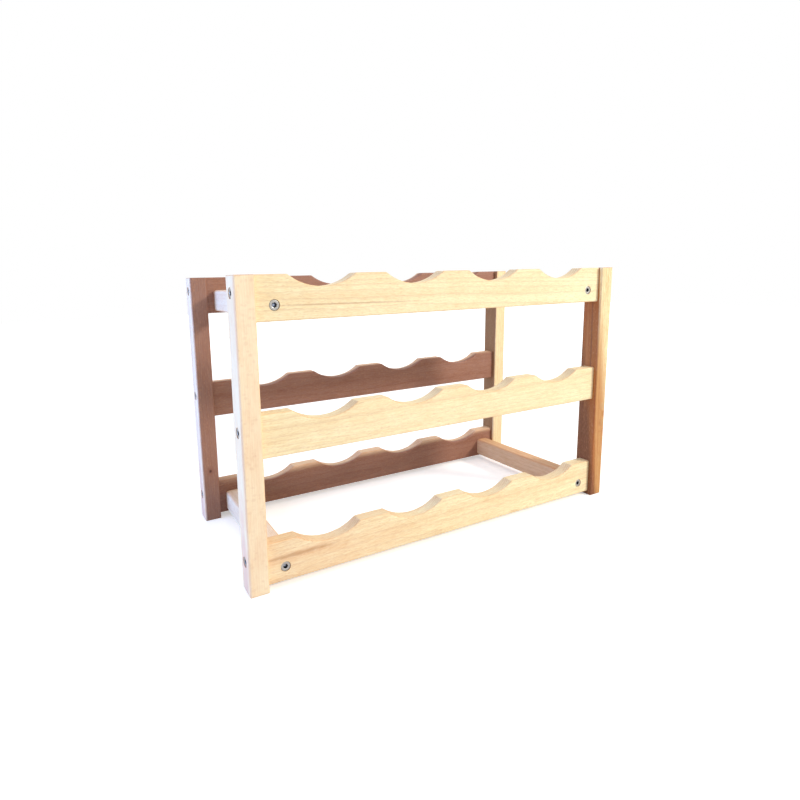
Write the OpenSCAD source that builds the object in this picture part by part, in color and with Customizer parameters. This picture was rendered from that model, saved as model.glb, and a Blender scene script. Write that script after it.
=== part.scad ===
// Wine rack: four posts, six scalloped rails and four side bars, put together with
// hex-socket wood screws and dowels. X is the width, Y the depth with the front at -Y,
// and Z is up. The origin is at the centre of the rack's footprint, on the floor.

/* [Rack] */
// Overall width across the posts
rack_w = 500; // [480:5:560]
// Overall depth across the posts
rack_d = 210; // [180:5:260]
// Height of the lowest rails above the floor
foot_gap = 5; // [0:1:20]
// Height from one level of rails to the next
level_pitch = 129; // [126:1:160]

/* [Posts] */
// Post width, seen from the front
post_w = 20; // [18:1:30]
// Post depth, front to back
post_d = 25; // [22:1:36]
// Rounding of the posts' long edges
post_edge_r = 2; // [0.5:0.5:3]
// Easing of the posts' cut ends
post_end_r = 1; // [0.5:0.25:1.5]

/* [Rails] */
// Rail thickness, front to back
rail_t = 15; // [14:1:20]
// Rail height
rail_h = 43; // [40:1:60]
// Rounding of the rails' long edges, which also follows every scallop
rail_edge_r = 1.5; // [0.5:0.25:2]

/* [Scallops] */
// Bottles side by side on each level
scallop_count = 4; // [2:1:4]
// Distance from one bottle to the next
scallop_pitch = 107.5; // [100:0.5:112]
// Radius of the seat that the bottle lies in
scallop_r = 60; // [50:1:75]
// Depth of the seat below the rail's flat top
scallop_depth = 12; // [8:0.5:14]
// Rounding of the lip where the seat meets the flat top
lip_r = 4; // [2.5:0.5:6]

/* [Side bars] */
// Side bar width
bar_w = 20; // [15:1:25]
// Side bar height
bar_h = 25; // [20:1:28]
// Rounding of the side bars' long edges
bar_edge_r = 3; // [0.5:0.5:5]
// Gap between a side bar and the posts beside it
bar_inset = 9; // [6:1:20]
// Height of the side bar's centre above the bottom of its rails
bar_rise = 15; // [14:0.5:20]

/* [Screws] */
// Screw length over all
screw_len = 50; // [44:1:50]
// Head diameter
screw_head_d = 10; // [9:0.5:11]
// Plain neck diameter below the head
screw_neck_d = 7; // [6:0.5:7]
// Core diameter of the threaded length
screw_core_d = 5; // [4:0.5:5]
// Hex socket size across flats
socket_af = 4; // [3:0.5:5]
// Distance of the post screws below the rails' flat tops
post_screw_drop = 16; // [14:0.5:20]

/* [Dowels] */
// Dowel diameter
dowel_d = 6; // [5:1:8]
// Dowel length
dowel_len = 20; // [16:1:22]
// Height of the dowels above the bottom of their rails
dowel_rise = 10; // [7:0.5:12]

/* [Hidden] */

$fn = 96;

beech = "BurlyWood";
dowel_wood = "Wheat";
zinc = "Silver";

// Sides and levels
left = -1;
right = 1;
front = -1;
rear = 1;
bottom = 0;
middle = 1;
top = 2;
levels = [bottom, middle, top];

// Frame
rail_len = rack_w - 2 * post_w;
post_h = foot_gap + 2 * level_pitch + rail_h;
post_x = rack_w / 2 - post_w / 2;
post_y = rack_d / 2 - post_d / 2;
rail_y = post_y;
bar_len = 2 * rail_y - rail_t;
bar_x = rack_w / 2 - post_w - bar_inset - bar_w / 2;

// Scallops: an arc of scallop_r that ends on a lip of lip_r, tangent to it and to the flat top
first_scallop_x = -scallop_pitch * (scallop_count - 1) / 2;
scallop_centre_z = rail_h - scallop_depth + scallop_r;
lip_centre_z = rail_h - lip_r;
lip_centre_x = sqrt(pow(scallop_r + lip_r, 2) - pow(scallop_centre_z - lip_centre_z, 2));
lip_angle = atan(lip_centre_x / (scallop_centre_z - lip_centre_z));
lip_reach = lip_r / cos(lip_angle) + 1;
face_overcut = 2;

// Screws and their stepped holes
head_sink = 0.5;
head_gap = 0.3;
head_rim_h = 1;
head_bevel = 0.25;
seat_depth = head_rim_h + (screw_head_d - screw_neck_d) / 2;
neck_depth = 12;
tip_len = 2;
socket_depth = 3;
socket_bevel = 0.4;

// Dowels
dowel_bevel = 1;
dowel_slack = 1;
dowel_in_post = 8;

function level_z(level) = foot_gap + level * level_pitch;

// ---- Shared shapes

module rounded_section(w, h, r) {
    square([w - 2 * r, h], center = true);
    square([w, h - 2 * r], center = true);
    for (x = [-1, 1], y = [-1, 1])
        translate([x * (w / 2 - r), y * (h / 2 - r)])
            circle(r);
}

// Moves a shape drawn on the XY plane and extruded up to lie along X, with its drawn Y up
module along_x() {
    rotate([90, 0, 90])
        children();
}

// The same, but to lie along Y
module along_y() {
    rotate([90, 0, 0])
        children();
}

// Screw with its head's flat top at Z = 0, pointing down
module screw() {
    head_r = screw_head_d / 2;
    neck_r = screw_neck_d / 2;
    core_r = screw_core_d / 2;
    difference() {
        rotate_extrude()
            polygon([
                [0, 0],
                [head_r - head_bevel, 0],
                [head_r, -head_bevel],
                [head_r, -head_rim_h],
                [neck_r, -seat_depth],
                [neck_r, -neck_depth],
                [core_r, -neck_depth - neck_r + core_r],
                [core_r, -screw_len + tip_len],
                [core_r / 2, -screw_len],
                [0, -screw_len]
            ]);
        translate([0, 0, -socket_depth])
            cylinder(d = socket_af / cos(30), h = socket_depth + 1, $fn = 6);
        translate([0, 0, -socket_bevel])
            cylinder(
                r1 = socket_af / 2,
                r2 = socket_af / 2 + 2 * socket_bevel,
                h = 2 * socket_bevel
            );
    }
}

// The hole that a stepped drill leaves for that screw, from the wood's face at Z = 0
module screw_hole() {
    head_r = screw_head_d / 2;
    neck_r = screw_neck_d / 2;
    core_r = screw_core_d / 2;
    bore_end = -screw_len - head_sink;
    rotate_extrude()
        polygon([
            [0, 1],
            [head_r + head_gap, 1],
            [head_r + head_gap, -head_sink - head_rim_h + head_gap],
            [neck_r, -head_sink - seat_depth],
            [neck_r, -head_sink - neck_depth],
            [core_r, -head_sink - neck_depth - neck_r + core_r],
            [core_r, bore_end],
            [0, bore_end]
        ]);
}

module dowel() {
    r = dowel_d / 2;
    rotate_extrude()
        polygon([
            [0, 0],
            [r - dowel_bevel, 0],
            [r, dowel_bevel],
            [r, dowel_len - dowel_bevel],
            [r - dowel_bevel, dowel_len],
            [0, dowel_len]
        ]);
}

// ---- Where the fasteners go

// The point on a post's outer face where the screw of one level goes in, facing inwards
module at_post_screw(side_x, side_y, level) {
    translate([
        side_x * rack_w / 2,
        side_y * rail_y,
        level_z(level) + rail_h - post_screw_drop
    ])
        rotate([0, side_x * 90, 0])
            children();
}

// The point on a rail's outer face where the screw into a side bar goes in
module at_rail_screw(side_x, side_y, level) {
    translate([
        side_x * bar_x,
        side_y * (rail_y + rail_t / 2),
        level_z(level) + bar_rise
    ])
        rotate([-side_y * 90, 0, 0])
            children();
}

// The outer end of a dowel, inside its post
module at_dowel(side_x, side_y, level) {
    translate([
        side_x * (rail_len / 2 + dowel_in_post),
        side_y * rail_y,
        level_z(level) + dowel_rise
    ])
        rotate([0, -side_x * 90, 0])
            children();
}

module dowel_hole() {
    translate([0, 0, -dowel_slack])
        cylinder(d = dowel_d, h = dowel_len + 2 * dowel_slack);
}

// ---- Posts

module post(side_x, side_y) {
    color(beech)
    difference() {
        translate([side_x * post_x, side_y * post_y, 0])
            intersection() {
                linear_extrude(post_h)
                    rounded_section(post_w, post_d, post_edge_r);
                along_x()
                    linear_extrude(2 * post_w, center = true)
                        translate([0, post_h / 2])
                            rounded_section(post_d, post_h, post_end_r);
                along_y()
                    linear_extrude(2 * post_d, center = true)
                        translate([0, post_h / 2])
                            rounded_section(post_w, post_h, post_end_r);
            }
        for (level = levels) {
            at_post_screw(side_x, side_y, level)
                screw_hole();
            at_dowel(side_x, side_y, level)
                dowel_hole();
        }
    }
}

// ---- Rails

// Half section of a cut that hollows wood out to the radius r and eases both rims
module hollow_cut_section(r, thickness) {
    translate([0, -thickness / 2 - face_overcut])
        square([r, thickness + 2 * face_overcut]);
    for (face = [-1, 1])
        scale([1, face])
            difference() {
                translate([r, thickness / 2 - rail_edge_r])
                    square([rail_edge_r, rail_edge_r + face_overcut]);
                translate([r + rail_edge_r, thickness / 2 - rail_edge_r])
                    circle(rail_edge_r);
            }
}

// Half section of a cut that rounds wood down to the radius r and eases both rims
module lip_cut_section(r, thickness) {
    translate([r, -thickness / 2 - face_overcut])
        square([lip_reach - r, thickness + 2 * face_overcut]);
    for (face = [-1, 1])
        scale([1, face])
            difference() {
                translate([r - rail_edge_r, thickness / 2 - rail_edge_r])
                    square([rail_edge_r, rail_edge_r + face_overcut]);
                translate([r - rail_edge_r, thickness / 2 - rail_edge_r])
                    circle(rail_edge_r);
            }
}

// The seat of one bottle, centred on X = 0 and Y = 0
module seat_cut() {
    translate([0, 0, scallop_centre_z])
        along_y()
            rotate([0, 0, -90 - lip_angle])
                rotate_extrude(angle = 2 * lip_angle)
                    hollow_cut_section(scallop_r, rail_t);
}

// The two lips of that seat
module lip_cuts() {
    for (side = [-1, 1])
        scale([side, 1, 1])
            translate([lip_centre_x, 0, lip_centre_z])
                along_y()
                    rotate([0, 0, 90])
                        rotate_extrude(angle = lip_angle)
                            lip_cut_section(lip_r, rail_t);
}

module at_scallops() {
    for (i = [0 : scallop_count - 1])
        translate([first_scallop_x + i * scallop_pitch, 0, 0])
            children();
}

module rail(side_y, level) {
    color(beech)
    difference() {
        translate([0, side_y * rail_y, level_z(level)])
            difference() {
                along_x()
                    linear_extrude(rail_len, center = true)
                        translate([0, rail_h / 2])
                            rounded_section(rail_t, rail_h, rail_edge_r);
                at_scallops()
                    seat_cut();
                at_scallops()
                    lip_cuts();
            }
        for (side_x = [left, right]) {
            at_post_screw(side_x, side_y, level)
                screw_hole();
            at_dowel(side_x, side_y, level)
                dowel_hole();
            if (level != middle)
                at_rail_screw(side_x, side_y, level)
                    screw_hole();
        }
    }
}

// ---- Side bars

module side_bar(side_x, level) {
    color(beech)
    difference() {
        translate([side_x * bar_x, 0, level_z(level) + bar_rise])
            along_y()
                linear_extrude(bar_len, center = true)
                    rounded_section(bar_w, bar_h, bar_edge_r);
        for (side_y = [front, rear])
            at_rail_screw(side_x, side_y, level)
                screw_hole();
    }
}

// ---- Fasteners

module post_screws(side_x, side_y) {
    color(zinc)
    for (level = levels)
        at_post_screw(side_x, side_y, level)
            translate([0, 0, -head_sink])
                screw();
}

module rail_screws(side_y, level) {
    color(zinc)
    for (side_x = [left, right])
        at_rail_screw(side_x, side_y, level)
            translate([0, 0, -head_sink])
                screw();
}

module dowels(side_x, side_y) {
    color(dowel_wood)
    for (level = levels)
        at_dowel(side_x, side_y, level)
            dowel();
}

// ---- The named pieces

module front_left_post() { post(left, front); }
module front_right_post() { post(right, front); }
module rear_left_post() { post(left, rear); }
module rear_right_post() { post(right, rear); }
module front_rail_bottom() { rail(front, bottom); }
module front_rail_middle() { rail(front, middle); }
module front_rail_top() { rail(front, top); }
module rear_rail_bottom() { rail(rear, bottom); }
module rear_rail_middle() { rail(rear, middle); }
module rear_rail_top() { rail(rear, top); }
module side_bar_left_bottom() { side_bar(left, bottom); }
module side_bar_left_top() { side_bar(left, top); }
module side_bar_right_bottom() { side_bar(right, bottom); }
module side_bar_right_top() { side_bar(right, top); }
module front_left_post_screws() { post_screws(left, front); }
module front_right_post_screws() { post_screws(right, front); }
module rear_left_post_screws() { post_screws(left, rear); }
module rear_right_post_screws() { post_screws(right, rear); }
module front_rail_bottom_screws() { rail_screws(front, bottom); }
module front_rail_top_screws() { rail_screws(front, top); }
module rear_rail_bottom_screws() { rail_screws(rear, bottom); }
module rear_rail_top_screws() { rail_screws(rear, top); }
module front_left_dowels() { dowels(left, front); }
module front_right_dowels() { dowels(right, front); }
module rear_left_dowels() { dowels(left, rear); }
module rear_right_dowels() { dowels(right, rear); }

front_left_post();
front_right_post();
rear_left_post();
rear_right_post();
front_rail_bottom();
front_rail_middle();
front_rail_top();
rear_rail_bottom();
rear_rail_middle();
rear_rail_top();
side_bar_left_bottom();
side_bar_left_top();
side_bar_right_bottom();
side_bar_right_top();
front_left_post_screws();
front_right_post_screws();
rear_left_post_screws();
rear_right_post_screws();
front_rail_bottom_screws();
front_rail_top_screws();
rear_rail_bottom_screws();
rear_rail_top_screws();
front_left_dowels();
front_right_dowels();
rear_left_dowels();
rear_right_dowels();
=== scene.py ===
import math
import bmesh
import bpy
from mathutils import Matrix, Vector


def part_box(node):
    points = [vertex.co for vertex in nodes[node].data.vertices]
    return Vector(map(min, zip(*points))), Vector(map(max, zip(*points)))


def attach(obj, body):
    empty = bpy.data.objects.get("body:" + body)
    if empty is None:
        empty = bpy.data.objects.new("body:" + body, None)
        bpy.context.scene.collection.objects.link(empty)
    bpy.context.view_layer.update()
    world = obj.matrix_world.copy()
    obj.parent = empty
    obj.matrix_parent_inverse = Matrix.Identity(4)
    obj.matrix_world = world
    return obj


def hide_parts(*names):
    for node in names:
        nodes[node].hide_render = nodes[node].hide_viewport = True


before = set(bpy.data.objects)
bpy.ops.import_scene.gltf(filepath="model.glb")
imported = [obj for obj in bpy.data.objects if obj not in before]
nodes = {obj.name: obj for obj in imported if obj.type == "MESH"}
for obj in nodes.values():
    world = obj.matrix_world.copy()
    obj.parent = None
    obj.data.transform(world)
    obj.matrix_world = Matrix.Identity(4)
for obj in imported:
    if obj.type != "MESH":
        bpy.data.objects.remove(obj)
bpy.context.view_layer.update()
print("frame loaded:", len(nodes), "nodes")

mm = 0.001


def linearColour(hexColour):
    # sRGB hex to the linear values that the shaders take
    parts = [int(hexColour[i:i + 2], 16) / 255 for i in (1, 3, 5)]
    return [p / 12.92 if p <= 0.04045 else ((p + 0.055) / 1.055) ** 2.4 for p in parts] + [1.0]


def addNode(tree, kind, inputs=None, out=0, **settings):
    # An input is a value, or another node's output to link to. Returns the output named or numbered out.
    node = tree.nodes.new("ShaderNode" + kind)
    for key, value in settings.items():
        setattr(node, key, value)
    for key, value in (inputs or {}).items():
        if isinstance(value, bpy.types.NodeSocket):
            tree.links.new(value, node.inputs[key])
        else:
            node.inputs[key].default_value = value
    return node.outputs[out] if len(node.outputs) else node


def newMaterial(name):
    material = bpy.data.materials.new(name)
    material.use_nodes = True
    material.node_tree.nodes.clear()
    return material, material.node_tree


# Solid beech, planed, sanded and given a thin matt finish. It is pale straw to pinkish tan with a close,
# even texture: fine brown dashes where its rays meet a flat-sawn face, broader flakes on a quarter-sawn
# one, and a darker end grain. Wood from near the heart of an old tree is a redder brown; on several boards
# that brown also paints the shade that a face lies in. It is all one pattern in space, which the board's
# faces cut.
beech = {
    "ringWidth": 2.4,           # mm between growth rings
    "ringWander": 5.0,          # mm that a ring strays along the board
    "wanderSize": (190, 40),    # mm along and across the grain over which it strays
    "ringRipple": 0.9,          # mm that a ring shakes
    "rippleSize": (18, 5),      # mm along and across
    "ringCrowding": 1.6,        # how unevenly the rings are spaced
    "lateWoodEdge": 5.0,        # higher keeps the dark late wood to a thinner line
    "streakSize": (260, 14),    # mm along and across the broad streaks
    "cloudSize": (34, 13),      # mm along and across the cloudy patches
    "ray": (4.2, 0.75, 6.0),    # mm along, across and towards the heart; real rays are half as wide,
                                # which is too fine to show
    "largeRay": (8.0, 1.6, 12.0),   # the largest, drawn wider too, so that a few show from some steps away
    "rayCover": (0.6, 0.3),     # how strongly the two sizes of ray colour the wood
    "fibre": (9.0, 0.85),       # mm along and across; real fibres are finer than show here
    "pore": (4.0, 0.3),         # mm along and across
    "fleck": "#CF966C",
    "fibreTint": "#F0DABD",
    "lateWood": "#CE9C76",
    "lateWoodCover": 0.45,
    "endLateWoodCover": 0.42,   # added where the end grain shows
    "endGrain": "#D9B49F",
    "endGrainCover": 0.6,
    "edge": "#F4DAC8",          # eased edges: a painted pinkish shade where lit faces turn, and a little handling wear
    "edgeShadeCover": 0.6,
    "relief": 0.1,              # mm from a pore's bottom to the surface
    "roughness": (0.46, 0.64),
    "edgeRoughness": 0.5,
    "endRoughness": 0.74,
    "boardGap": 370.0,          # mm from one board to the next in the pattern, so that no two are alike
}

# heart: where the tree's centre lies from the board's centre, in mm across the grain, as (X, Y) for a
# post, (Y, Z) for a rail and (Z, X) for a side bar. slope: the grain's run-out in degrees.
# light and dark: the sapwood's palest and darkest. streak, clouds, fibres and flecks: how strongly each
# shows, from 0 to 1.
# heartwoodAndPaintedShade: darker wood round the heart, which on several boards paints the shade their
# faces lie in. For each: how far from the heart it reaches at the board's middle, in mm, over how many mm
# it fades out, how much thinner it gets in each mm along the grain, and its colour. A reach below zero
# shows at one end only.
# marks: at is in mm from the board's centre, size in mm along and across the grain, push bends the rings.
boards = {
    # Its mark, pinker towards the bottom of the left face, is painted shade.
    "front_left_post": {
        "grain": "z", "heart": (74, -9), "slope": 0.5, "light": "#FEECCA", "dark": "#F4CEA6",
        "streak": 0.2, "clouds": 0.35, "fibres": 0.25, "flecks": 0.3,
        "marks": [{"at": (-11, 0, -150), "size": (130, 13), "push": 0, "colour": "#E8B9A2", "amount": 0.68}]},
    # Its heartwood darkens the front towards the bottom and browns the left face; that brown is painted
    # shade.
    "front_right_post": {
        "grain": "z", "heart": (-22, 14), "slope": 1.0, "light": "#FEF9D2", "dark": "#F0D9A8",
        "streak": 0.8, "clouds": 0.3, "fibres": 0.9, "flecks": 0.5,
        "heartwoodAndPaintedShade": [(35, 13, 0.1, "#D0A267"), (31.5, 2, 0.01, "#AF6F31"), (16, 7, 0.1, "#805027")],
        "marks": [{"at": (-10, -2, 55), "size": (150, 1.5), "push": 0, "colour": "#6E4424", "amount": 0.6},
                  {"at": (-10, 11, 0), "size": (200, 3.2), "push": 0, "colour": "#7C4E2B", "amount": 0.6},
                  {"at": (-10, 4, 40), "size": (120, 3.2), "push": 0, "colour": "#BE8149", "amount": 0.4},
                  {"at": (6, -12.5, -30), "size": (7, 10), "push": 4.0, "colour": "#A4672F", "amount": 0.4},
                  {"at": (9, -12.5, -40), "size": (5, 9), "push": -4.0, "colour": "#A4672F", "amount": 0.4},
                  {"at": (4, -12.5, -52), "size": (7, 8), "push": 4.0, "colour": "#A4672F", "amount": 0.45},
                  {"at": (9, -12.5, -64), "size": (6, 9), "push": -4.0, "colour": "#A4672F", "amount": 0.4}]},
    # Its heartwood browns the front face: painted shade. Its first mark, pinker towards the bottom of the
    # left face, is painted shade too.
    "rear_left_post": {
        "grain": "z", "heart": (26, -25), "slope": 0.4, "light": "#FDF2E2", "dark": "#F0D6BE",
        "streak": 0.55, "clouds": 0.3, "fibres": 0.6, "flecks": 0.4, "heartwoodAndPaintedShade": [(39, 3, 0, "#9F7969")],
        "marks": [{"at": (-11, 0, -150), "size": (120, 12), "push": 0, "colour": "#DDB0A0", "amount": 0.6},
                  {"at": (0, -12.5, -88), "size": (9, 6), "push": 2.5, "colour": "#8A5542", "amount": 0.5},
                  {"at": (0, -12.5, -88), "size": (3.0, 2.4), "push": 0, "colour": "#4A271B",
                   "amount": 0.9}]},
    # Its heartwood browns the left face: painted shade.
    "rear_right_post": {
        "grain": "z", "heart": (-22, 14), "slope": -0.3, "light": "#FDF0C6", "dark": "#EFD7A8",
        "streak": 0.5, "clouds": 0.3, "fibres": 0.6, "flecks": 0.4, "heartwoodAndPaintedShade": [(31, 2, 0, "#9A7248")]},
    "front_rail_top": {
        "grain": "x", "heart": (58, -26), "slope": -0.7, "light": "#FEF6D0", "dark": "#F5DEB1",
        "streak": 0.55, "clouds": 0.3, "fibres": 0.6, "flecks": 0.45,
        "marks": [{"at": (-140, -7.5, -8), "size": (120, 1.2), "push": 0, "colour": "#BE8A5E",
                   "amount": 0.55}]},
    "front_rail_middle": {
        "grain": "x", "heart": (66, 30), "slope": 0.5, "light": "#FFF6CF", "dark": "#F5DDB0",
        "streak": 0.5, "clouds": 0.3, "fibres": 0.55, "flecks": 0.42},
    "front_rail_bottom": {
        "grain": "x", "heart": (50, -20), "slope": 0.9, "light": "#FFF8D2", "dark": "#F4D9AC",
        "streak": 0.5, "clouds": 0.3, "fibres": 0.65, "flecks": 0.45,
        "heartwoodAndPaintedShade": [(20, 44, 0.25, "#FEEDC9")],
        "marks": [{"at": (-196, -7.5, 4), "size": (56, 3.0), "push": 0, "colour": "#BC8557", "amount": 0.6}]},
    # The rear rails' darker base and their heartwood paint the shade their front faces lie in; the rear
    # bottom rail's second, darker towards one end, is painted shade too.
    "rear_rail_top": {
        "grain": "x", "heart": (-36, 4), "slope": 0.4, "light": "#F5DDBD", "dark": "#E3C09C",
        "streak": 0.6, "clouds": 0.3, "fibres": 0.7, "flecks": 0.5, "heartwoodAndPaintedShade": [(40, 7, 0, "#A17868")]},
    "rear_rail_middle": {
        "grain": "x", "heart": (-35, -5), "slope": -0.4, "light": "#F3D9BA", "dark": "#DFB894",
        "streak": 0.6, "clouds": 0.3, "fibres": 0.7, "flecks": 0.5, "heartwoodAndPaintedShade": [(40, 7, 0, "#9E7564")]},
    "rear_rail_bottom": {
        "grain": "x", "heart": (-38, -8), "slope": 0.5, "light": "#F5DBBB", "dark": "#E2BC99",
        "streak": 0.6, "clouds": 0.3, "fibres": 0.7, "flecks": 0.5,
        "heartwoodAndPaintedShade": [(40, 7, 0, "#9E7564"), (-20, 38, 0.25, "#8E6757")]},
    # The left bars' paler base is painted light on their window-lit left faces.
    "side_bar_left_bottom": {
        "grain": "y", "heart": (20, -58), "slope": 0.5, "light": "#FDF0DA", "dark": "#F0D6BA",
        "streak": 0.5, "clouds": 0.3, "fibres": 0.5, "flecks": 0.4},
    "side_bar_left_top": {
        "grain": "y", "heart": (-26, -52), "slope": -0.6, "light": "#FDF1DD", "dark": "#F1D8BE",
        "streak": 0.5, "clouds": 0.3, "fibres": 0.5, "flecks": 0.4},
    # The right bars' darker, browner base is painted shade.
    "side_bar_right_bottom": {
        "grain": "y", "heart": (30, 50), "slope": 0.4, "light": "#EBC59B", "dark": "#D4A67A",
        "streak": 0.5, "clouds": 0.3, "fibres": 0.6, "flecks": 0.4},
    "side_bar_right_top": {
        "grain": "y", "heart": (-40, 44), "slope": -0.4, "light": "#EBC69E", "dark": "#D6AA80",
        "streak": 0.5, "clouds": 0.3, "fibres": 0.6, "flecks": 0.4},
}

# Each turns the rack's axes so that the first runs along the grain
grainTurns = {
    "x": Matrix(((1, 0, 0), (0, 1, 0), (0, 0, 1))),
    "y": Matrix(((0, 1, 0), (0, 0, 1), (1, 0, 0))),
    "z": Matrix(((0, 0, 1), (1, 0, 0), (0, 1, 0))),
}


def planedBeech(name, board, number):
    material, tree = newMaterial("planedBeech_" + name)
    low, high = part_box(name)
    centre = (low + high) / 2
    turn = Matrix.Rotation(math.radians(board["slope"]), 3, "Y") @ grainTurns[board["grain"]]
    fromHeart = Vector((number * beech["boardGap"], -board["heart"][0], -board["heart"][1]))
    alongGrain = Vector([1.0 if axis == board["grain"] else 0.0 for axis in "xyz"])
    light, dark = linearColour(board["light"]), linearColour(board["dark"])
    bandTint = [d / l for d, l in zip(dark, light)]

    rackSpace = addNode(tree, "TexCoord", out="Object")
    rackNormal = addNode(tree, "TexCoord", out="Normal")
    # Board space in mm: first along the grain, the other two from the tree's heart
    spot = addNode(tree, "Mapping", {
        "Vector": rackSpace, "Location": fromHeart - (turn @ centre) / mm,
        "Rotation": turn.to_euler("XYZ"), "Scale": (1 / mm, 1 / mm, 1 / mm)}, vector_type="POINT")
    along = addNode(tree, "SeparateXYZ", {0: spot}, out="X")

    def grainNoise(length, width, detail=2.0, roughness=0.5):
        # Cloudy streaks of that many mm along and across the grain
        drawn = addNode(tree, "VectorMath", {0: spot, 1: (1 / length, 1 / width, 1 / width)},
                        operation="MULTIPLY")
        return addNode(tree, "TexNoise", {
            "Vector": drawn, "Scale": 1.0, "Detail": detail, "Roughness": roughness})

    # Marks: knots, curls, dark lines and patches of painted shade
    marks = []
    for mark in board.get("marks", []):
        length, width = mark["size"]
        markCentre = turn @ Vector(mark["at"]) + fromHeart
        offset = addNode(tree, "VectorMath", {0: spot, 1: markCentre}, operation="SUBTRACT")
        drawn = addNode(tree, "VectorMath", {0: offset, 1: (1 / length, 1 / width, 1 / width)},
                        operation="MULTIPLY")
        distance = addNode(tree, "VectorMath", {0: drawn}, out="Value", operation="LENGTH")
        ragged = addNode(tree, "Math", {0: grainNoise(width * 3, width), 1: 0.7, 2: distance},
                         operation="MULTIPLY_ADD")
        cover = addNode(tree, "MapRange", {"Value": ragged, "From Min": 1.35, "From Max": 0.6},
                        interpolation_type="SMOOTHSTEP")
        marks.append((mark, cover))

    # Growth rings round the heart, which wander along the board and bend round the marks
    across = addNode(tree, "VectorMath", {0: spot, 1: (0, 1, 1)}, operation="MULTIPLY")
    radius = addNode(tree, "VectorMath", {0: across}, out="Value", operation="LENGTH")
    wander = addNode(tree, "Math", {
        0: grainNoise(*beech["wanderSize"]), 1: beech["ringWander"], 2: radius}, operation="MULTIPLY_ADD")
    wander = addNode(tree, "Math", {
        0: grainNoise(*beech["rippleSize"]), 1: beech["ringRipple"], 2: wander}, operation="MULTIPLY_ADD")
    for mark, cover in marks:
        wander = addNode(tree, "Math", {0: cover, 1: mark["push"], 2: wander}, operation="MULTIPLY_ADD")
    rings = addNode(tree, "Math", {0: wander, 1: 1 / beech["ringWidth"]}, operation="MULTIPLY")
    crowding = addNode(tree, "TexNoise", {"W": rings, "Scale": 0.33, "Detail": 1.0},
                       noise_dimensions="1D")
    rings = addNode(tree, "Math", {0: crowding, 1: beech["ringCrowding"], 2: rings},
                    operation="MULTIPLY_ADD")
    season = addNode(tree, "Math", {0: rings}, operation="FRACT")
    lateWood = addNode(tree, "Math", {0: season, 1: beech["lateWoodEdge"]}, operation="POWER")
    ringTone = addNode(tree, "TexNoise", {"W": rings, "Scale": 0.55, "Detail": 2.0},
                       noise_dimensions="1D")

    # The more a face cuts across the grain, the darker and duller it is, and the plainer its rings
    facing = addNode(tree, "VectorMath", {0: rackNormal, 1: alongGrain}, out="Value",
                     operation="DOT_PRODUCT")
    endFace = addNode(tree, "MapRange", {
        "Value": addNode(tree, "Math", {0: facing}, operation="ABSOLUTE"),
        "From Min": 0.15, "From Max": 0.95}, interpolation_type="SMOOTHSTEP")

    # Rays: thin flat lenses that point to the heart. Two of their axes go round it and out from it.
    parts = {axis: addNode(tree, "SeparateXYZ", {0: spot}, out=axis) for axis in "YZ"}
    angle = addNode(tree, "Math", {0: parts["Z"], 1: parts["Y"]}, operation="ARCTAN2")
    aroundHeart = addNode(tree, "Math", {0: angle, 1: math.hypot(*board["heart"])}, operation="MULTIPLY")
    raySpace = addNode(tree, "CombineXYZ", {"X": along, "Y": aroundHeart, "Z": radius})

    def rayLenses(length, width, depth, size):
        cells = addNode(tree, "VectorMath", {0: raySpace, 1: (1 / length, 1 / width, 1 / depth)},
                        operation="MULTIPLY")
        bend = addNode(tree, "TexNoise", {"Vector": cells, "Scale": 0.3, "Detail": 1.0}, out="Color")
        bent = addNode(tree, "VectorMath", {0: bend, 1: (1.4, 1.4, 1.4), 2: cells},
                       operation="MULTIPLY_ADD")
        distance = addNode(tree, "TexVoronoi", {"Vector": bent, "Scale": 1.0}, out="Distance")
        chance = addNode(tree, "TexVoronoi", {"Vector": bent, "Scale": 1.0}, out="Color")
        chance = addNode(tree, "SeparateColor", {0: chance})
        lens = addNode(tree, "MapRange", {
            "Value": distance, "From Min": size, "From Max": size * 0.4}, interpolation_type="SMOOTHSTEP")
        return addNode(tree, "Math", {0: lens, 1: chance}, operation="MULTIPLY")

    fineRays = rayLenses(*beech["ray"], 0.5)
    coarseRays = rayLenses(*beech["largeRay"], 0.42)

    # Colour: heartwood and painted shade, then broad streaks, bands of rings, late wood, fibres, rays and
    # marks
    colour = light
    for reach, fade, taper, darker in board.get("heartwoodAndPaintedShade", []):
        reach += taper * fromHeart.x
        thinned = addNode(tree, "Math", {0: along, 1: taper, 2: wander}, operation="MULTIPLY_ADD")
        near = addNode(tree, "MapRange", {
            "Value": thinned, "From Min": reach + fade, "From Max": reach},
            interpolation_type="SMOOTHSTEP")
        colour = addNode(tree, "Mix", {0: near, 6: colour, 7: linearColour(darker)}, out=2,
                         data_type="RGBA")
    broad = addNode(tree, "MapRange", {
        "Value": grainNoise(*beech["streakSize"], 3.0, 0.55), "From Min": 0.38, "From Max": 0.66},
        interpolation_type="SMOOTHSTEP")
    bands = addNode(tree, "MapRange", {"Value": ringTone, "From Min": 0.35, "From Max": 0.7},
                    interpolation_type="SMOOTHSTEP")
    tone = addNode(tree, "Mix", {0: 0.45, 2: broad, 3: bands}, data_type="FLOAT")
    tone = addNode(tree, "Math", {0: tone, 1: board["streak"]}, operation="MULTIPLY")
    clouds = addNode(tree, "MapRange", {
        "Value": grainNoise(*beech["cloudSize"], 3.0, 0.6), "From Min": 0.35, "From Max": 0.7,
        "To Max": board["clouds"]}, interpolation_type="SMOOTHSTEP")
    tone = addNode(tree, "Math", {0: tone, 1: clouds}, operation="ADD", use_clamp=True)
    colour = addNode(tree, "Mix", {0: tone, 6: colour, 7: bandTint}, out=2, data_type="RGBA",
                     blend_type="MULTIPLY")
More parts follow.
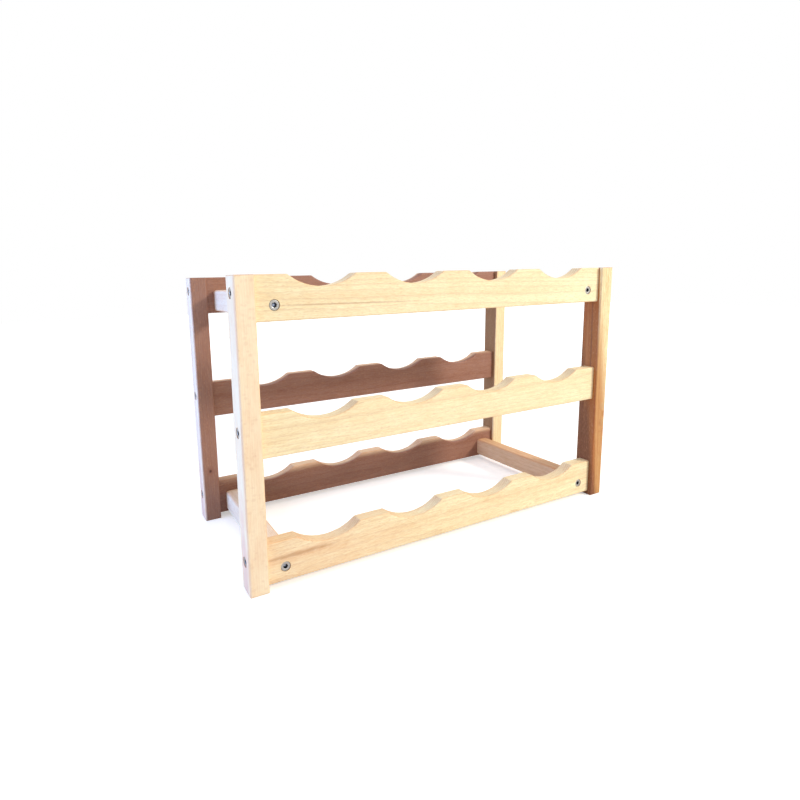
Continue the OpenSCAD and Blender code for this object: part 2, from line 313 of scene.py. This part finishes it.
    lateCover = addNode(tree, "Math", {
        0: endFace, 1: beech["endLateWoodCover"], 2: beech["lateWoodCover"] * board["streak"]},
        operation="MULTIPLY_ADD")
    lateCover = addNode(tree, "Math", {0: lateCover, 1: lateWood}, operation="MULTIPLY")
    colour = addNode(tree, "Mix", {0: lateCover, 6: colour, 7: linearColour(beech["lateWood"])}, out=2,
                     data_type="RGBA", blend_type="MULTIPLY")
    fibres = addNode(tree, "MapRange", {
        "Value": grainNoise(*beech["fibre"], 3.0, 0.65), "From Min": 0.66, "From Max": 0.34})
    fibreCover = addNode(tree, "Math", {0: fibres, 1: board["fibres"]}, operation="MULTIPLY")
    colour = addNode(tree, "Mix", {0: fibreCover, 6: colour, 7: linearColour(beech["fibreTint"])}, out=2,
                     data_type="RGBA", blend_type="MULTIPLY")
    for rays, strength in zip((fineRays, coarseRays), beech["rayCover"]):
        cover = addNode(tree, "Math", {0: rays, 1: strength * board["flecks"]}, operation="MULTIPLY")
        colour = addNode(tree, "Mix", {0: cover, 6: colour, 7: linearColour(beech["fleck"])}, out=2,
                         data_type="RGBA")
    for mark, cover in marks:
        cover = addNode(tree, "Math", {0: cover, 1: mark["amount"]}, operation="MULTIPLY")
        colour = addNode(tree, "Mix", {0: cover, 6: colour, 7: linearColour(mark["colour"])}, out=2,
                         data_type="RGBA")

    endCover = addNode(tree, "Math", {0: endFace, 1: beech["endGrainCover"]}, operation="MULTIPLY")
    colour = addNode(tree, "Mix", {0: endCover, 6: colour, 7: linearColour(beech["endGrain"])}, out=2,
                     data_type="RGBA", blend_type="MULTIPLY")

    # Eased edges: there the normal leans between two faces. The cover is none on either face and most half
    # way between them.
    lean = addNode(tree, "SeparateXYZ", {0: rackNormal}, out="X" if board["grain"] == "y" else "Y")
    lean = addNode(tree, "Math", {0: lean}, operation="ABSOLUTE")
    fallOff = addNode(tree, "Math", {0: lean, 1: -4.0, 2: 4.0}, operation="MULTIPLY_ADD")
    edge = addNode(tree, "Math", {0: lean, 1: fallOff}, operation="MULTIPLY", use_clamp=True)
    # The edge tint paints a pinkish shade along the eased edges, with a little handling wear.
    edgeShadeCover = addNode(tree, "Math", {0: edge, 1: beech["edgeShadeCover"]}, operation="MULTIPLY")
    colour = addNode(tree, "Mix", {0: edgeShadeCover, 6: colour, 7: linearColour(beech["edge"])}, out=2,
                     data_type="RGBA", blend_type="MULTIPLY")

    # Fibres, pores and rays stand out a little. Sanding leaves the edges smooth and the end grain rough.
    pores = grainNoise(*beech["pore"], 2.0, 0.6)
    height = addNode(tree, "Math", {0: fibres, 1: -0.4, 2: pores}, operation="MULTIPLY_ADD")
    height = addNode(tree, "Math", {0: fineRays, 1: -0.4, 2: height}, operation="MULTIPLY_ADD")
    bump = addNode(tree, "Bump", {"Strength": 0.3, "Distance": beech["relief"] * mm, "Height": height})
    rough = addNode(tree, "MapRange", {
        "Value": pores, "From Min": 0.3, "From Max": 0.7,
        "To Min": beech["roughness"][0], "To Max": beech["roughness"][1]})
    rough = addNode(tree, "Mix", {0: edge, 2: rough, 3: beech["edgeRoughness"]}, data_type="FLOAT")
    rough = addNode(tree, "Mix", {0: endFace, 2: rough, 3: beech["endRoughness"]}, data_type="FLOAT")
    surface = addNode(tree, "BsdfPrincipled", {
        "Base Color": colour, "Roughness": rough, "Normal": bump, "IOR": 1.5})
    addNode(tree, "OutputMaterial", {"Surface": surface})
    return material


for number, (name, board) in enumerate(boards.items()):
    part = nodes[name]
    part.data.materials.clear()
    part.data.materials.append(planedBeech(name, board, number))
print("boards finished:", len(boards))

# Beech dowel rod, turned and left rough: pale, with grain along the rod, and all but hidden in its joint
dowelRod = {"light": "#E3C496", "dark": "#C99E6C", "streakLength": 25.0, "streakWidth": 1.1, "relief": 0.1}


def turnedDowel():
    material, tree = newMaterial("turnedBeechDowel")
    place = addNode(tree, "TexCoord", out="Object")
    size = [1 / (dowelRod["streakLength"] * mm)] + [1 / (dowelRod["streakWidth"] * mm)] * 2
    streaks = addNode(tree, "VectorMath", {0: place, 1: size}, operation="MULTIPLY")
    grain = addNode(tree, "TexNoise", {"Vector": streaks, "Scale": 1.0, "Detail": 3.0})
    colour = addNode(tree, "Mix", {
        0: grain, 6: linearColour(dowelRod["light"]), 7: linearColour(dowelRod["dark"])}, out=2,
        data_type="RGBA")
    rough = addNode(tree, "MapRange", {"Value": grain, "To Min": 0.6, "To Max": 0.8})
    bump = addNode(tree, "Bump", {
        "Strength": 0.4, "Distance": dowelRod["relief"] * mm, "Height": grain})
    surface = addNode(tree, "BsdfPrincipled", {
        "Base Color": colour, "Roughness": rough, "Normal": bump})
    addNode(tree, "OutputMaterial", {"Surface": surface})
    return material


dowelFinish = turnedDowel()
for name in nodes:
    if name.endswith("dowels"):
        nodes[name].data.materials.clear()
        nodes[name].data.materials.append(dowelFinish)
print("dowels finished")

# Connector screws in mm, cold headed and thread rolled
screw = {
    "headRadius": 5.0, "rimHeight": 1.0, "neckRadius": 3.5, "neckEnd": 12.0, "coreRadius": 2.45,
    "length": 50.0, "tip": 2.0,
    "socket": 4.2, "socketDepth": 2.9, "drillPoint": 0.7, "mouth": 0.36,
    "threadRadius": 3.4, "threadHalfWidth": 0.75, "pitch": 3.0, "threadStart": 14.0, "threadEnd": 47.0,
    "segments": 48, "threadSegments": 24,   # in one turn
    "socketTurn": 0.7,                      # radians from one screw's socket to the next one's
}


def screwMesh():
    s = screw
    half = s["socket"] / 2
    cone = s["rimHeight"] + s["headRadius"] - s["neckRadius"]
    # Rings from the bottom of the socket, up over the head and down to the tip: radius, height, hexagonal
    rings = [
        (half * 0.86, -s["socketDepth"] - 0.1, True), (half, -s["socketDepth"] + 0.1, True),
        (half, -s["mouth"] * 1.6, True), (half + s["mouth"] * 0.3, -s["mouth"] * 0.7, True),
        (half + s["mouth"], -s["mouth"] * 0.1, True), (half + s["mouth"] * 1.9, 0.0, False),
        (s["headRadius"] - 0.75, 0.0, False), (s["headRadius"] - 0.4, -0.03, False),
        (s["headRadius"] - 0.15, -0.14, False), (s["headRadius"] - 0.03, -0.34, False),
        (s["headRadius"], -0.55, False), (s["headRadius"] - 0.02, -s["rimHeight"], False),
        (s["neckRadius"], -cone, False), (s["neckRadius"], -s["neckEnd"], False),
        (s["coreRadius"], -s["neckEnd"] - 1.0, False), (s["coreRadius"], -s["length"] + s["tip"], False),
        (0.5, -s["length"] + 0.2, False)]
    mesh = bmesh.new()
    count = s["segments"]
    loops = []
    for radius, height, hexagonal in rings:
        loop = []
        for step in range(count):
            turn = 2 * math.pi * step / count
            reach = radius / math.cos(turn % (math.pi / 3) - math.pi / 6) if hexagonal else radius
            loop.append(mesh.verts.new((reach * math.cos(turn) * mm, reach * math.sin(turn) * mm,
                                        height * mm)))
        loops.append(loop)
    for inner, outer in zip(loops, loops[1:]):
        for step in range(count):
            after = (step + 1) % count
            mesh.faces.new((inner[step], outer[step], outer[after], inner[after]))
    drilled = mesh.verts.new((0, 0, (-s["socketDepth"] - s["drillPoint"]) * mm))
    point = mesh.verts.new((0, 0, -s["length"] * mm))
    for step in range(count):
        after = (step + 1) % count
        mesh.faces.new((drilled, loops[0][step], loops[0][after]))
        mesh.faces.new((point, loops[-1][after], loops[-1][step]))

    # Thread: a three-cornered ridge wound round the core, tapered at both ends
    turns = (s["threadEnd"] - s["threadStart"]) / s["pitch"]
    steps = int(turns * s["threadSegments"])
    runOut = s["threadSegments"] / 2
    flank = s["threadHalfWidth"]
    ridge = []
    for step in range(steps + 1):
        turn = 2 * math.pi * turns * step / steps
        height = -s["threadStart"] - (s["threadEnd"] - s["threadStart"]) * step / steps
        rise = min(1.0, step / runOut, (steps - step) / runOut)
        crest = s["coreRadius"] + (s["threadRadius"] - s["coreRadius"]) * rise
        root = s["coreRadius"] - 0.08
        corners = ((root, flank), (max(crest, root + 0.1), 0.0), (root, -flank))
        ridge.append([mesh.verts.new((r * math.cos(turn) * mm, r * math.sin(turn) * mm,
                                      (height + up) * mm)) for r, up in corners])
    for near, far in zip(ridge, ridge[1:]):
        for corner in range(3):
            after = (corner + 1) % 3
            mesh.faces.new((near[corner], near[after], far[after], far[corner]))
    mesh.faces.new(ridge[0])
    mesh.faces.new(reversed(ridge[-1]))
    bmesh.ops.recalc_face_normals(mesh, faces=mesh.faces)
    data = bpy.data.meshes.new("connectorScrew")
    mesh.to_mesh(data)
    mesh.free()
    data.shade_smooth()
    data.set_sharp_from_angle(angle=math.radians(38))
    return data


# Steel with bright zinc plating: a grey shine, faint turning marks round the head, and a socket darkened with
# painted shade, with a painted glint at its bottom
zinc = {
    # drilled: the painted glint's colour; shade: the socket's painted shade
    "bright": "#D0CCC4", "dull": "#9FA0A0", "shade": "#232A3A", "drilled": "#A9B6CC",
    "cloud": 2.2,               # mm across the plating's cloudy patches
    "markSpacing": 0.45,        # mm; real turning marks are a third of this, too fine to show
    "markStrength": 0.12,
    "socketShade": 0.9,
    "glint": 0.3,               # radius of the painted glint in the socket, in parts of the socket's width
    "relief": 0.03,             # mm
    "roughness": (0.26, 0.42),
}


def platedSteel():
    material, tree = newMaterial("brightZincPlatedSteel")
    place = addNode(tree, "TexCoord", out="Object")
    cloud = addNode(tree, "TexNoise", {"Vector": place, "Scale": 1 / (zinc["cloud"] * mm), "Detail": 3.0})
    flat = addNode(tree, "VectorMath", {0: place, 1: (1, 1, 0)}, operation="MULTIPLY")
    radius = addNode(tree, "VectorMath", {0: flat}, out="Value", operation="LENGTH")
    marks = addNode(tree, "Math", {0: radius, 1: 2 * math.pi / (zinc["markSpacing"] * mm)},
                    operation="MULTIPLY")
    marks = addNode(tree, "Math", {0: marks}, operation="SINE")
    marks = addNode(tree, "Math", {0: marks, 1: zinc["markStrength"], 2: cloud},
                    operation="MULTIPLY_ADD")
    colour = addNode(tree, "Mix", {
        0: marks, 6: linearColour(zinc["bright"]), 7: linearColour(zinc["dull"])}, out=2,
        data_type="RGBA")
    # Painted shade, and a little oil, darken the socket with depth; its blue is a painted reflection
    depth = addNode(tree, "SeparateXYZ", {0: place}, out="Z")
    paintedSocketShade = addNode(tree, "MapRange", {
        "Value": depth, "From Min": -0.02 * mm, "From Max": -0.4 * mm}, interpolation_type="SMOOTHSTEP")
    paintedSocketShade = addNode(tree, "Math", {0: paintedSocketShade, 1: zinc["socketShade"]}, operation="MULTIPLY")
    colour = addNode(tree, "Mix", {0: paintedSocketShade, 6: colour, 7: linearColour(zinc["shade"])}, out=2,
                     data_type="RGBA")
    # A painted glint at the bottom of the socket
    bottom = addNode(tree, "MapRange", {
        "Value": depth, "From Min": (0.2 - screw["socketDepth"]) * mm,
        "From Max": -screw["socketDepth"] * mm}, interpolation_type="SMOOTHSTEP")
    spot = addNode(tree, "Math", {0: radius, 1: screw["socket"] * zinc["glint"] * mm},
                   operation="LESS_THAN")
    bottom = addNode(tree, "Math", {0: bottom, 1: spot}, operation="MULTIPLY")
    colour = addNode(tree, "Mix", {0: bottom, 6: colour, 7: linearColour(zinc["drilled"])}, out=2,
                     data_type="RGBA")
    rough = addNode(tree, "MapRange", {
        "Value": marks, "To Min": zinc["roughness"][0], "To Max": zinc["roughness"][1]})
    bump = addNode(tree, "Bump", {"Strength": 0.35, "Distance": zinc["relief"] * mm, "Height": marks})
    surface = addNode(tree, "BsdfPrincipled", {
        "Base Color": colour, "Metallic": 1.0, "Roughness": rough, "Normal": bump})
    addNode(tree, "OutputMaterial", {"Surface": surface})
    return material


connector = screwMesh()
connector.materials.append(platedSteel())
screwCount = 0
for name in sorted(nodes):
    if not name.endswith("screws"):
        continue
    low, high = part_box(name)
    inPost = name.endswith("post_screws")
    row = Vector((0, 0, 1)) if inPost else Vector((1, 0, 0))
    outward = Vector((1, 0, 0)) if inPost else Vector((0, 1, 0))
    if (low + high).dot(outward) < 0:
        outward = -outward
    # The heads' centres lie in a row, from one end of the group's box to the other
    face = max(low.dot(outward), high.dot(outward))
    middle = (low + high) / 2
    middle += outward * (face - middle.dot(outward))
    reach = (high - low).dot(row) / 2 - screw["headRadius"] * mm
    count = 3 if inPost else 2
    for place in range(count):
        piece = bpy.data.objects.new(f"{name[:-1]}_{place + 1}", connector)
        bpy.context.scene.collection.objects.link(piece)
        along = reach * (2 * place / (count - 1) - 1)
        spin = Matrix.Rotation(screw["socketTurn"] * screwCount, 3, "Z").to_quaternion()
        turned = outward.to_track_quat("Z", "Y") @ spin
        piece.matrix_world = Matrix.Translation(middle + row * along) @ turned.to_matrix().to_4x4()
        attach(piece, "root")
        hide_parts(name)
        screwCount += 1
print("fasteners finished:", screwCount, "screws")

# A pale paper floor. Seen by the camera it is lifted to white, all but the rack's shadow.
floorLook = {
    "colour": "#F0EFEC", "size": 9.0,
    "lift": 0.42,               # light added for the camera near the rack; it grows to 1 over the fade
    "fade": (0.6, 1.8),         # m from the rack's middle
    "fibres": 300.0,            # in each metre, coarser than real paper's
    "relief": 0.1,              # mm
}


def palePaper():
    material, tree = newMaterial("palePaperFloor")
    place = addNode(tree, "TexCoord", out="Object")
    distance = addNode(tree, "VectorMath", {0: place}, out="Value", operation="LENGTH")
    fade = addNode(tree, "MapRange", {
        "Value": distance, "From Min": floorLook["fade"][0], "From Max": floorLook["fade"][1],
        "To Min": floorLook["lift"]}, interpolation_type="SMOOTHSTEP")
    seen = addNode(tree, "Math", {0: fade, 1: addNode(tree, "LightPath", out="Is Camera Ray")},
                   operation="MULTIPLY")
    fibres = addNode(tree, "TexNoise", {"Vector": place, "Scale": floorLook["fibres"], "Detail": 3.0})
    bump = addNode(tree, "Bump", {
        "Strength": 0.1, "Distance": floorLook["relief"] * mm, "Height": fibres})
    paper = addNode(tree, "BsdfDiffuse", {"Color": linearColour(floorLook["colour"]), "Normal": bump})
    glow = addNode(tree, "Emission", {"Color": (1, 1, 1, 1), "Strength": seen})
    both = addNode(tree, "AddShader", {0: paper, 1: glow})
    addNode(tree, "OutputMaterial", {"Surface": both})
    return material


half = floorLook["size"] / 2
floorMesh = bpy.data.meshes.new("floor")
floorMesh.from_pydata([(-half, -half, 0), (half, -half, 0), (half, half, 0), (-half, half, 0)],
                      [], [(0, 1, 2, 3)])
floor = bpy.data.objects.new("floor", floorMesh)
bpy.context.scene.collection.objects.link(floor)
floorMesh.materials.append(palePaper())

# Soft studio light: a warm key from the front right and a cool fill from the left
lamps = {
    "key": {"place": (1.4, -1.55, 1.25), "size": 0.4, "power": 38.0, "colour": "#FFF8EE"},
    "sideFill": {"place": (-1.9, 0.1, 0.45), "size": 1.3, "power": 42.0, "colour": "#90B9FF"},
    "overhead": {"place": (0.1, 0.2, 1.9), "size": 1.6, "power": 10.0, "colour": "#FFF3EA"},
}
aim = Vector((0, 0, 0.15))      # about the rack's middle
for name, lamp in lamps.items():
    light = bpy.data.lights.new(name, "AREA")
    light.shape = "DISK"
    light.size = lamp["size"]
    light.energy = lamp["power"]
    light.color = linearColour(lamp["colour"])[:3]
    holder = bpy.data.objects.new(name, light)
    holder.location = lamp["place"]
    holder.rotation_euler = (aim - holder.location).to_track_quat("-Z", "Y").to_euler()
    bpy.context.scene.collection.objects.link(holder)

studio = {"ambient": 0.42}
world = bpy.data.worlds.new("studio")
bpy.context.scene.world = world
world.use_nodes = True
sky = world.node_tree
sky.nodes.clear()
seen = addNode(sky, "Math", {0: addNode(sky, "LightPath", out="Is Camera Ray"),
                             1: addNode(sky, "LightPath", out="Is Glossy Ray")}, operation="MAXIMUM")
ambient = addNode(sky, "Background", {"Color": (1, 1, 1, 1), "Strength": studio["ambient"]})
white = addNode(sky, "Background", {"Color": (1, 1, 1, 1), "Strength": 1.0})
addNode(sky, "OutputWorld", {"Surface": addNode(sky, "MixShader", {0: seen, 1: ambient, 2: white})})
print("stage and lamps set")

# Eye level with the rack's top, off its left front corner. Metres, degrees, and mm for the lens.
view = {"place": (-0.3746, -0.5482, 0.2997), "turn": 26.39, "tilt": -9.10, "roll": -1.49,
        "lens": 23.26, "shift": (0.0828, -0.0471)}
lens = bpy.data.cameras.new("camera")
lens.sensor_width = 36.0
lens.lens = view["lens"]
lens.shift_x, lens.shift_y = view["shift"]
lens.clip_start = 0.01
camera = bpy.data.objects.new("camera", lens)
camera.matrix_world = (Matrix.Translation(view["place"])
                       @ Matrix.Rotation(math.radians(-view["turn"]), 4, "Z")
                       @ Matrix.Rotation(math.radians(90 + view["tilt"]), 4, "X")
                       @ Matrix.Rotation(math.radians(view["roll"]), 4, "Z"))
bpy.context.scene.collection.objects.link(camera)
bpy.context.scene.camera = camera
bpy.context.scene.view_settings.view_transform = "Standard"
